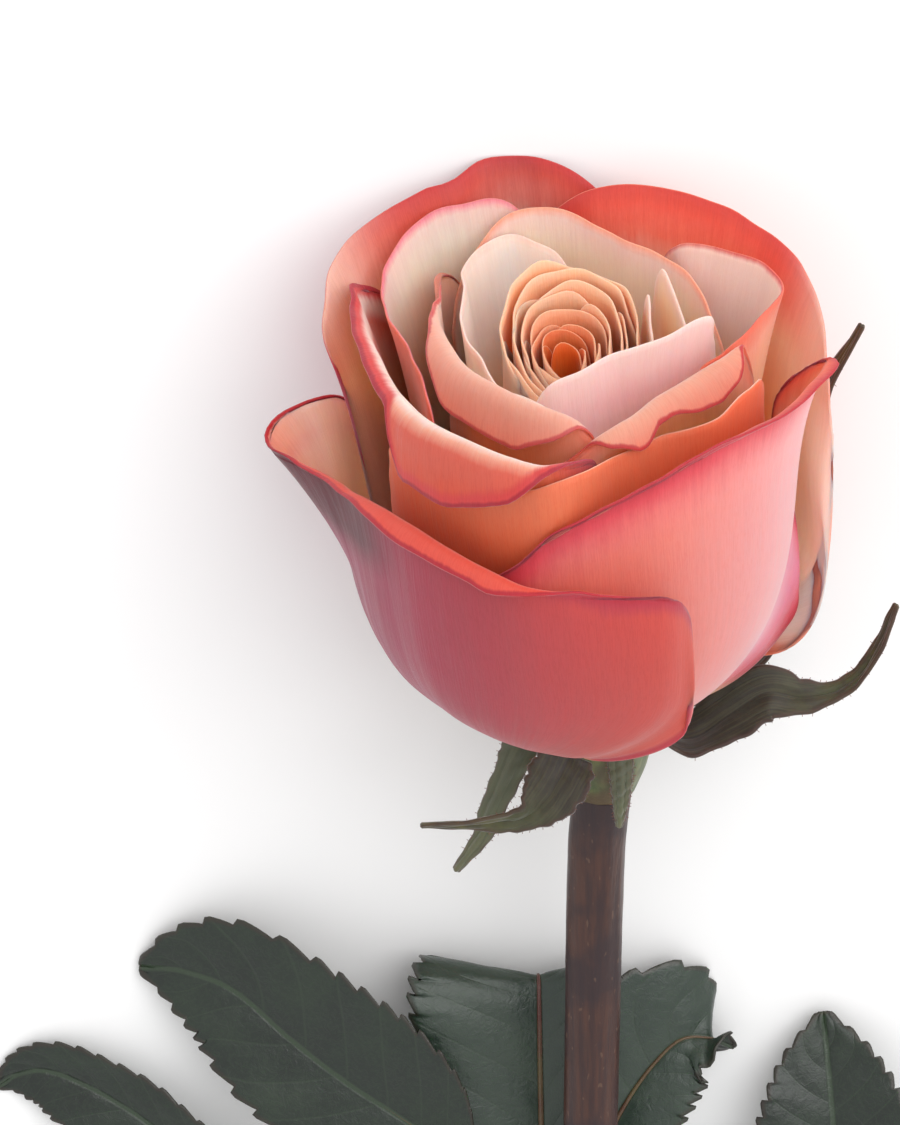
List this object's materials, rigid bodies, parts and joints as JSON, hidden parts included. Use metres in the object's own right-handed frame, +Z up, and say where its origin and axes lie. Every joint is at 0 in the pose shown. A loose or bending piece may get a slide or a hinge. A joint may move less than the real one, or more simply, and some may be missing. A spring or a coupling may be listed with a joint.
{
  "type": "cut rose",
  "caption": "Cut rose lying down: a cupped, many-petalled bloom on a hip with hanging sepals, a long prickly stem and compound serrated leaves.",
  "frame": {"origin": "centre of the box round the rose, at the level of the surface it lies on", "axes": "+Z up from the surface, +Y from the bloom towards the stem's cut end"},
  "size_m": [0.1259, 0.3991, 0.0594],
  "materials": {
    "heart": "matt velvety petal",
    "hip": "smooth green-brown bark of a flower stem",
    "leaf_behind": "leaf, slightly glossy",
    "leaf_left": "leaf, slightly glossy",
    "leaf_lower_left": "leaf, slightly glossy",
    "leaf_right": "leaf, slightly glossy",
    "petal_back_inner": "matt velvety petal",
    "petal_back_left": "matt velvety petal",
    "petal_back_right": "matt velvety petal",
    "petal_blush_right": "matt velvety petal",
    "petal_cream_left": "matt velvety petal",
    "petal_front_tucked": "matt velvety petal",
    "petal_guard_back_left": "matt velvety petal",
    "petal_guard_back_right": "matt velvety petal",
    "petal_guard_front_left": "matt velvety petal",
    "petal_guard_front_right": "matt velvety petal",
    "petal_left_flap": "matt velvety petal",
    "petal_left_front_flap": "matt velvety petal",
    "petal_right_flap": "matt velvety petal",
    "petal_slip_inner": "matt velvety petal",
    "petal_slip_outer": "matt velvety petal",
    "sepal_front_short": "leaf, slightly glossy",
    "sepal_front_twisted": "leaf, slightly glossy",
    "sepal_left_hanging": "leaf, slightly glossy",
    "sepal_right_curled": "leaf, slightly glossy",
    "sepal_right_upright": "leaf, slightly glossy",
    "stem": "smooth green-brown bark of a flower stem"
  },
  "bodies": {
    "root": {"heart": "heart", "hip": "hip", "leaf_behind": "leaf_behind", "leaf_left": "leaf_left", "leaf_lower_left": "leaf_lower_left", "leaf_right": "leaf_right", "petal_back_inner": "petal_back_inner", "petal_back_left": "petal_back_left", "petal_back_right": "petal_back_right", "petal_blush_right": "petal_blush_right", "petal_cream_left": "petal_cream_left", "petal_front_tucked": "petal_front_tucked", "petal_guard_back_left": "petal_guard_back_left", "petal_guard_back_right": "petal_guard_back_right", "petal_guard_front_left": "petal_guard_front_left", "petal_guard_front_right": "petal_guard_front_right", "petal_left_flap": "petal_left_flap", "petal_left_front_flap": "petal_left_front_flap", "petal_right_flap": "petal_right_flap", "petal_slip_inner": "petal_slip_inner", "petal_slip_outer": "petal_slip_outer", "sepal_front_short": "sepal_front_short", "sepal_front_twisted": "sepal_front_twisted", "sepal_left_hanging": "sepal_left_hanging", "sepal_right_curled": "sepal_right_curled", "sepal_right_upright": "sepal_right_upright", "stem": "stem"}
  },
  "joints": []
}
